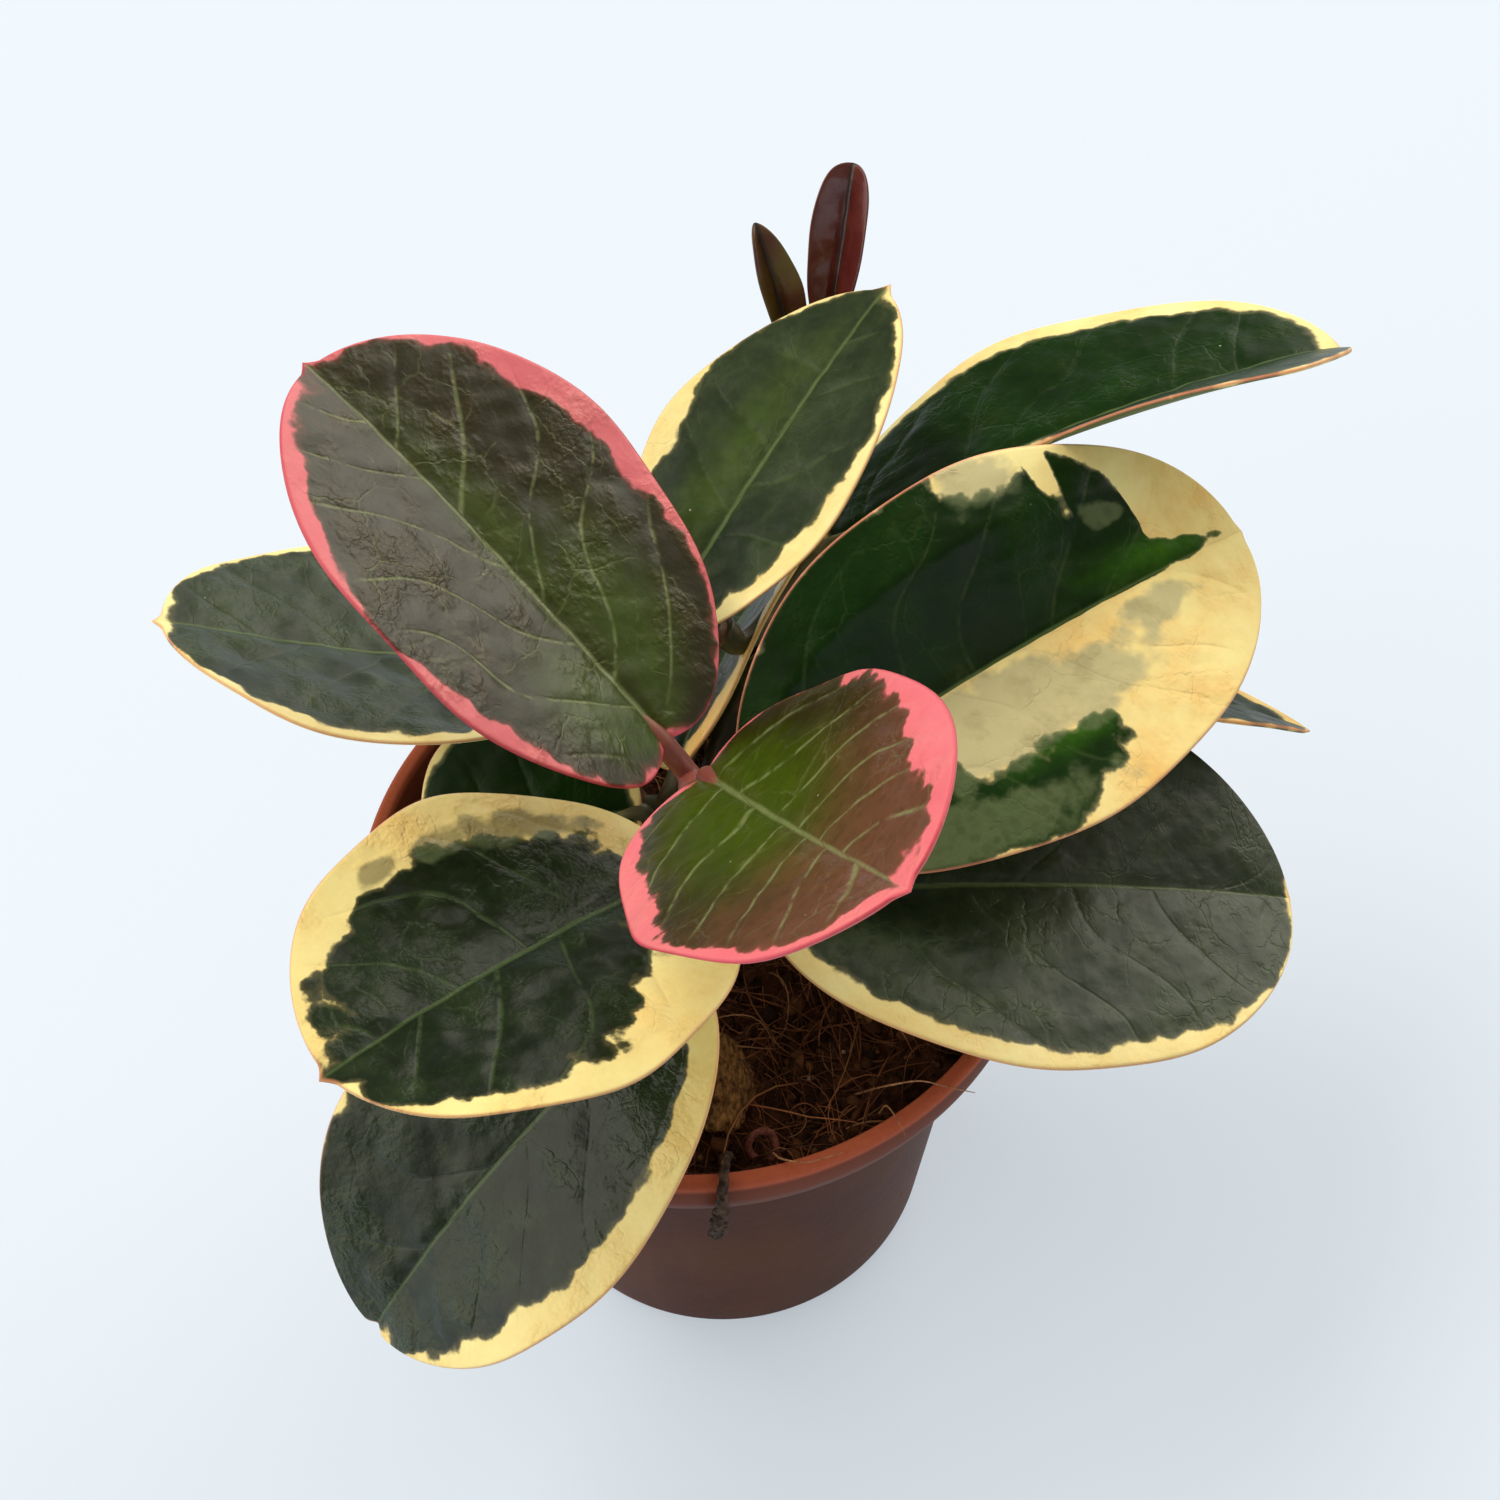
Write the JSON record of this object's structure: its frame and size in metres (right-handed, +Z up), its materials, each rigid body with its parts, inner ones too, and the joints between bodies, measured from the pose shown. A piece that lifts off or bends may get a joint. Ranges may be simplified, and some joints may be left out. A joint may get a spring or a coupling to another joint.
{
  "type": "potted hoya plant",
  "caption": "Young variegated hoya with thick oval cream- and pink-edged leaves on short stalks, growing in a small tapered nursery pot filled with coarse potting mix.",
  "frame": {"origin": "centre of the pot's underside, on the face it stands on", "axes": "+Z up along the pot's axis; -Y is the side that faces the viewer, where the lowest leaf hangs over the rim; +X to the viewer's right"},
  "size_m": [0.1322, 0.1158, 0.1451],
  "materials": {
    "pot": "satin",
    "soil": "matte",
    "stem": "satin",
    "leaf_green": "satin",
    "leaf_young": "satin",
    "shoot": "gloss",
    "root": "matte",
    "lump": "matte"
  },
  "bodies": {
    "root": {"pot": "pot", "soil": "soil", "front_stem": "stem", "back_stem": "stem", "leaf_young_left": "leaf_young", "leaf_young_front": "leaf_young", "leaf_right_upper": "leaf_green", "leaf_left_middle": "leaf_green", "leaf_right_lower": "leaf_green", "leaf_front_low": "leaf_green", "leaf_back_middle": "leaf_green", "leaf_back_right": "leaf_green", "leaf_left_back": "leaf_green", "leaf_right_hidden": "leaf_green", "leaf_back_inner": "leaf_green", "leaf_left_inner": "leaf_green", "shoot_leaf_right": "shoot", "shoot_leaf_left": "shoot", "peat_lump": "lump", "husk": "lump", "curled_root": "root", "hanging_root": "root", "fibre_arched": "root", "fibre_rim_front": "root", "fibre_rim_right": "root"}
  },
  "joints": []
}
